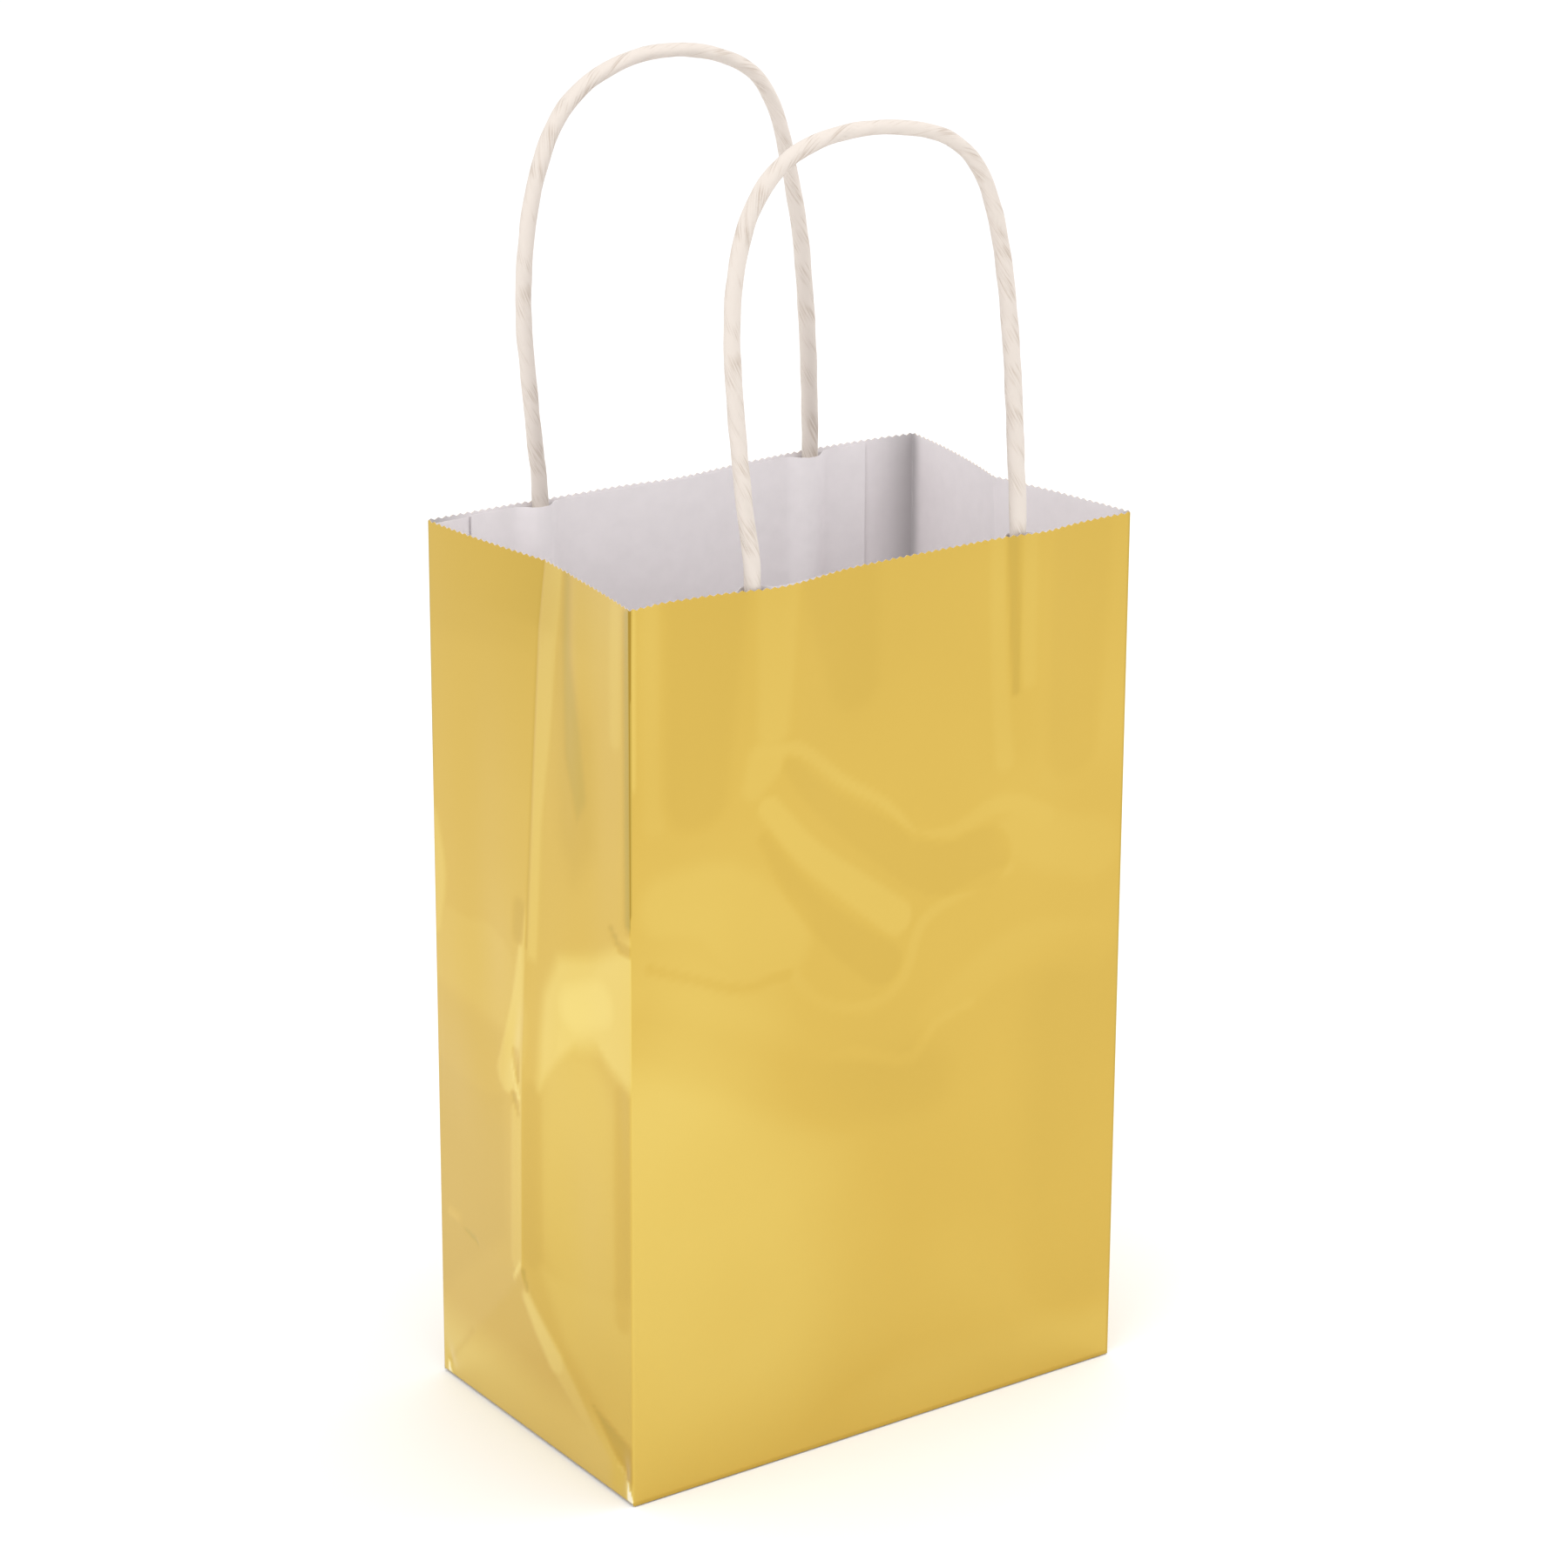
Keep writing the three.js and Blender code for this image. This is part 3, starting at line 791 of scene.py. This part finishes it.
def make_gusset(name, side, nodes, profile, powers, table, painted_tones, seed, materials):
    along, pull = gusset_columns()
    y, z = np.meshgrid(along, gusset_rows(along))
    on_middle = (np.abs(y) < TINY) & (z > APEX_Z - TINY)
    on_diagonal = np.abs(np.abs(y) + z - APEX_Z) < 0.001 * MM
    slant = np.where(y < -TINY, -1, 1) * (z < APEX_Z - TINY)
    tone = painted_light_field(y, z, painted_tones)
    z = z.copy()
    z[-1] -= rim_drop(along, HALF_DEPTH, TOOTH_PITCH, seed)
    push = gusset_push(y, z, profile, powers, table)
    push = push - RELIEF * tone * held(y, z, HALF_DEPTH, FINE_MARGIN)
    x = side * (HALF_WIDTH + flare(z) - push - pull[None, :])
    outer = np.stack([x, y, z], axis=-1)
    inner = outer - np.array([side * PAPER, 0, 0])
    sheet = make_sheet(name, outer, inner, materials, side > 0, tone, on_middle | on_diagonal, slant)
    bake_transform(sheet)
    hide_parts(*nodes)


# ---------------------------------------------------------------- seam and handle patches
RIDGE_HEIGHT = 3.5 * MM
RIDGE_SPREAD = 3.8 * MM
CORD_SLIDE = 0.55              # a pasted cord end stands askew by this share of the wall's bulge
BACKING_LIFT = 0.12 * MM       # from a wall's inside to the strips pasted straight on it
COVER_LIFT = 0.5 * MM          # and to the cover strips, which lie over the cord ends


def ridges(x, z, legs, foot):
    """Height of the cover strip over the pasted cord ends, which stop a little above the strip's foot."""
    rise = np.zeros_like(x)
    for leg in legs:
        rise = np.maximum(rise, np.exp(-np.abs((x - leg) / RIDGE_SPREAD) ** 3))
    return RIDGE_HEIGHT * rise * ease(z, foot + 1 * MM, foot + 7 * MM)


def make_strip(name, side, body, node, left, right, bottom, top, lift, legs, material, wave_seed):
    """A strip of paper pasted inside a wall, lift metres in from it, raised over the cord ends at legs."""
    column_step, row_step = 0.9 * MM, 2.2 * MM
    columns = np.linspace(left, right, max(8, round((right - left) / column_step)))
    rows = np.linspace(bottom, top, max(4, round((top - bottom) / row_step)))
    x, z = np.meshgrid(columns, rows)
    shift = wall_shift(x, z, side)
    rise = lift + (ridges(x - CORD_SLIDE * shift, z, legs, bottom) if legs else 0)
    random = np.random.default_rng(wave_seed)
    ragged = random.normal(0, 0.05 * MM, len(columns))
    z = z + np.where(z > top - 1 * MM, ragged[None, :], 0)
    y = side * (HALF_DEPTH - PAPER - rise) + shift
    outer = np.stack([x, y, z], axis=-1)
    inner = outer - np.array([0, side * STRIP_PAPER, 0])
    sheet = make_sheet(name, outer, inner, [material] * 3, face_out=side < 0)
    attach(sheet, body)
    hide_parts(node)


def make_patches(material):
    """The backing and cover strips of both handles. Each cover strip is pasted on a little out of line."""
    for prefix, side, loop in (("front", -1, FRONT_LOOP), ("back", 1, BACK_LOOP)):
        body = f"{prefix}_wall"
        legs = [loop[0][0] * MM, loop[-1][0] * MM]
        low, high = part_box(f"{prefix}_backing_strip")
        make_strip(f"{prefix}_backing_paper", side, body, f"{prefix}_backing_strip", low.x, high.x,
                   low.z, high.z, BACKING_LIFT, [], material, 11)
        make_strip(f"{prefix}_cover_paper", side, body, f"{prefix}_cover_strip", low.x + 0.1 * MM,
                   high.x - 0.2 * MM, low.z + 0.5 * MM, high.z + 0.3 * MM, COVER_LIFT, legs, material, 12)


def make_seam(material):
    left = -HALF_WIDTH + 0.5 * MM
    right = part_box("side_seam_flap")[1].x
    top = HEIGHT - 1.2 * MM
    make_strip("side_seam_paper", 1, "back_wall", "side_seam_flap", left, right, BASE_LAYER, top,
               BACKING_LIFT, [], material, 13)


# ---------------------------------------------------------------- base
BASE_LIFT = 0.5 * MM           # how far the middle of the base stands off the ground
LIFT_REACH = 26 * MM           # and how far that goes to each side, short of the folded gussets
FLAP_REACH = 49 * MM
TUCK_REACH = 46 * MM
TUCK_TAPER = 24 * MM           # each end of a tuck is narrower by this at its inner edge


def base_lift(x, y):
    """The middle of the base stands a little off the ground, out of the folded gussets' reach."""
    across = np.clip(1 - (x / LIFT_REACH) ** 2, 0, 1) ** 2
    return BASE_LIFT * across * np.clip(1 - (y / HALF_DEPTH) ** 2, 0, 1)


def make_base_sheet(name, node, outline, layer, materials):
    """A base flap or tuck. outline(across, inward) gives x and y, with across and inward from 0 to 1."""
    across, inward = np.meshgrid(np.linspace(0, 1, 60), np.linspace(0, 1, 24))
    x, y = outline(across, inward)
    z = layer + base_lift(x, y)
    outer = np.stack([x, y, z], axis=-1)
    inner = outer + np.array([0, 0, PAPER])
    corner = np.cross(outer[0, 1] - outer[0, 0], outer[1, 0] - outer[0, 0])
    sheet = make_sheet(name, outer, inner, materials, face_out=corner[2] < 0)
    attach(sheet, "front_wall")
    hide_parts(node)
    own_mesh(sheet)


def make_base(gold, white):
    """An envelope base: two mitred flaps below, and two tucks above them."""
    half = HALF_WIDTH + FLARE_BASE - 0.1 * MM
    inset = 0.1 * MM           # of the flaps from the walls

    def flap(side):
        def outline(across, inward):
            width = half - inset - inward * FLAP_REACH
            return (2 * across - 1) * width, side * (HALF_DEPTH - inset - inward * FLAP_REACH)
        return outline

    def side_tuck(side):
        def outline(across, inward):
            width = HALF_DEPTH - 0.6 * MM - inward * TUCK_TAPER
            return side * (half - 0.3 * MM - inward * TUCK_REACH), (2 * across - 1) * width
        return outline

    materials = [gold, white, white]
    make_base_sheet("base_flap_rear", "bottom_flap_back", flap(1), 0, materials)
    make_base_sheet("base_flap_fore", "bottom_flap_front", flap(-1), BASE_STEP, materials)
    make_base_sheet("base_tuck_west", "bottom_tuck_left", side_tuck(-1), 2 * BASE_STEP, materials)
    make_base_sheet("base_tuck_east", "bottom_tuck_right", side_tuck(1), 2 * BASE_STEP, materials)


# ---------------------------------------------------------------- handles
CORD_SIDES = 56
CORD_STEP = 0.75 * MM
TWIST_PITCH = 26 * MM          # length of cord for one full turn of the twist
CORD_DEPTH = 1.9 * MM          # half the cord's thickness across its loop
# Half its thickness within the loop, from the left end to the right: the bends press it thinner.
CORD_WIDTHS = [(0, 1.95), (0.12, 1.85), (0.2, 1.72), (0.3, 1.72), (0.4, 1.8), (0.5, 1.55), (0.6, 1.6),
               (0.68, 1.78), (0.78, 1.92), (1, 2.0)]
PASTE_WIDER, PASTE_THINNER = 0.08, 0.28        # how much a pasted end is squeezed, as shares of its section
FOLD_SIZES = [(2, 0.022), (3, 0.016)]          # broad folds: how many round the cord, and how deep
GROOVE_GROUPS = 60
GROOVE_SPREAD = 260 * MM       # the length of cord that the groups are scattered over
GROOVE_GAP = 0.27              # radians between the grooves of a group
GROOVE_WIDTH = 0.065           # radians
SWELL_WAVES = (7, 12, 21)      # millimetres per radian of the slow swelling along the cord
SWELL_SIZE = 0.008
PHASES = 6.28                  # phases are drawn from 0 to this, about a full turn
CUT_Z = 229 * MM               # legs and arch meet here
LEG_BEND = (HEIGHT - 1 * MM, CUT_Z - 6 * MM)                # heights listed for the legs at the rim
ARCH_BEND = (CUT_Z + 5 * MM, 2 * BEND_Z - CUT_Z - 5 * MM)   # and for the arch above them


def handle_route(loop, side):
    """The whole cord's centre line, pasted ends included, pushed along with the wall it is pasted to."""
    foot = HANDLE_END_LOW.z
    middle = foot + 18 * MM    # of a pasted end
    left, right = loop[0][0] * MM, loop[-1][0] * MM
    free = [(x * MM, z * MM) for x, z in loop]
    flat = np.array([(left, foot), (left, middle), *free, (right, middle), (right, foot)])
    x, z = flat[:, 0], flat[:, 1]
    shift = wall_shift(x, np.minimum(z, HEIGHT - 2 * MM), side) * (1 - ease(z, HEIGHT, BEND_Z - 8 * MM))
    return np.stack([x + CORD_SLIDE * shift, np.full(len(x), side * HANDLE_Y) + shift, z], axis=-1)


def twist_surface(angle, length, seed):
    """Radius of the twisted cord as a share of its nominal radius: broad folds, and grooves in groups."""
    random = np.random.default_rng(seed)
    turned = angle + 2 * math.pi * length / TWIST_PITCH
    radius = np.ones_like(angle)
    for folds, size in FOLD_SIZES:
        radius = radius + size * np.cos(folds * turned + random.uniform(0, PHASES))
    for _ in range(GROOVE_GROUPS):
        place = random.uniform(0, 2 * math.pi)
        middle, reach = random.uniform(0, GROOVE_SPREAD), random.uniform(5, 13) * MM
        shown = bell(length, middle, reach)
        for line in range(random.integers(2, 5)):
            off = np.angle(np.exp(1j * (turned - place - GROOVE_GAP * line)))
            radius = radius - random.uniform(0.026, 0.06) * shown * bell(off, 0, GROOVE_WIDTH)
    for wave in SWELL_WAVES:
        radius = radius + SWELL_SIZE * np.sin(length / (wave * MM) + random.uniform(0, PHASES))
    return radius


def make_cord(name, route, lengths, widths, flattening, material, seed):
    """A closed twisted tube along a route. widths is half its width within the loop at each point, and
    flattening, 0 to 1, squeezes the section across Y where it is pasted."""
    tangents = np.gradient(route, axis=0)
    tangents /= np.linalg.norm(tangents, axis=1)[:, None]
    depth = np.array([0.0, 1.0, 0.0])
    depths = depth - tangents * (tangents @ depth)[:, None]
    depths /= np.linalg.norm(depths, axis=1)[:, None]
    sideways = np.cross(depths, tangents)
    angle = np.linspace(0, 2 * math.pi, CORD_SIDES, endpoint=False)
    grid_angle, grid_length = np.meshgrid(angle, lengths)
    radius = twist_surface(grid_angle, grid_length, seed)
    squeeze = flattening[:, None]
    across = radius * widths[:, None] * np.cos(grid_angle) * (1 + PASTE_WIDER * squeeze)
    deep = radius * CORD_DEPTH * np.sin(grid_angle) * (1 - PASTE_THINNER * squeeze)
    rings = route[:, None] + across[..., None] * sideways[:, None] + deep[..., None] * depths[:, None]
    rows = len(route)
    vertices = list(rings.reshape(-1, 3)) + [route[0], route[-1]]
    faces = []
    for r in range(rows - 1):
        for c in range(CORD_SIDES):
            a, b = r * CORD_SIDES + c, r * CORD_SIDES + (c + 1) % CORD_SIDES
            faces.append((a, b, b + CORD_SIDES, a + CORD_SIDES))
    last = (rows - 1) * CORD_SIDES
    for c in range(CORD_SIDES):
        faces.append((c, rows * CORD_SIDES, (c + 1) % CORD_SIDES))
        faces.append((last + c, last + (c + 1) % CORD_SIDES, rows * CORD_SIDES + 1))
    piece = make_piece(name, vertices, faces, [material], sharp=60)
    add_twist_map(piece, rows, lengths)
    return piece


def add_twist_map(piece, rows, lengths):
    """A map that runs round the cord and along its twist, for the paper's wrinkles."""
    layer = piece.data.uv_layers.new(name="twist")
    for polygon in piece.data.polygons:
        corners = list(polygon.vertices)
        sides = [v % CORD_SIDES if v < rows * CORD_SIDES else 0 for v in corners]
        wraps = max(sides) - min(sides) > CORD_SIDES / 2
        for loop_index, vertex, side in zip(polygon.loop_indices, corners, sides):
            row = min(vertex // CORD_SIDES, rows - 1)
            turn = (side + (CORD_SIDES if wraps and side == 0 else 0)) / CORD_SIDES
            length = lengths[row]
            layer.data[loop_index].uv = (turn + length / TWIST_PITCH, length / (10 * MM))


def nearest_row(route, z, left):
    """Index of the route's point closest to a height on the left or the right leg."""
    half = len(route) // 2
    heights = np.abs(route[:, 2] - z)
    return int(np.argmin(heights[:half])) if left else half + int(np.argmin(heights[half:]))


def make_handle(prefix, loop, side, seed, material):
    """One cord as three pieces: a leg at each end, which bends at the rim, and the arch above them."""
    route = smooth_route(handle_route(loop, side), CORD_STEP)
    steps = np.linalg.norm(np.diff(route, axis=0), axis=1)
    lengths = np.concatenate([[0], np.cumsum(steps)])
    pasted = 1 - ease(route[:, 2], HEIGHT - 6 * MM, HEIGHT + 3 * MM)
    shares, halves = zip(*CORD_WIDTHS)
    widths = np.interp(lengths / lengths[-1], shares, halves) * MM
    start, end = nearest_row(route, CUT_Z, True), nearest_row(route, CUT_Z, False)
    wall, legs, top = f"{prefix}_wall", f"{prefix}_handle_legs", f"{prefix}_handle_top"
    parts = (
        ("left_leg", slice(0, start + 1), (wall, legs), LEG_BEND, ("end_left", "leg_left")),
        ("arch", slice(start, end + 1), (legs, top), ARCH_BEND, ("arch",)),
        ("right_leg", slice(end, len(route)), (wall, legs), LEG_BEND, ("end_right", "leg_right")),
    )
    for part, piece, bodies, (low, high), nodes in parts:
        cord = make_cord(f"{prefix}_cord_{part}", route[piece], lengths[piece], widths[piece], pasted[piece],
                         material, seed)
        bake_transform(cord)
        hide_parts(*(f"{prefix}_handle_{node}" for node in nodes))


# ---------------------------------------------------------------- the bag
make_camera()
make_studio()
make_floor()
gold = gold_foil()
lining = white_paper("lining_paper", (0.88, 0.835, 0.845))
strip_paper = white_paper("strip_paper", (0.90, 0.86, 0.87))
cord_paper = twisted_paper()
cut_edge = cut_paper()
paper = [gold, lining, cut_edge]
make_wall("front_sheet", -1, "front_wall", "front_panel", 1, FRONT_PAINTED_LIGHT, paper)
make_wall("back_sheet", 1, "back_wall", "back_panel", 2, mirrored(FRONT_PAINTED_LIGHT, drop=14), paper)
make_gusset("left_gusset_sheet", -1,
            ("left_gusset_front", "left_gusset_rear"), LEFT_CREASE, LEFT_POWERS, LEFT_DENTS,
            GUSSET_PAINTED_LIGHT, 3, paper)
make_gusset("right_gusset_sheet", 1,
            ("right_gusset_front", "right_gusset_rear"), RIGHT_CREASE, RIGHT_POWERS, RIGHT_DENTS,
            GUSSET_PAINTED_LIGHT, 4, paper)
make_seam(lining)
make_patches(strip_paper)
make_base(gold, lining)
make_handle("front", FRONT_LOOP, -1, 21, cord_paper)
make_handle("back", BACK_LOOP, 1, 22, cord_paper)
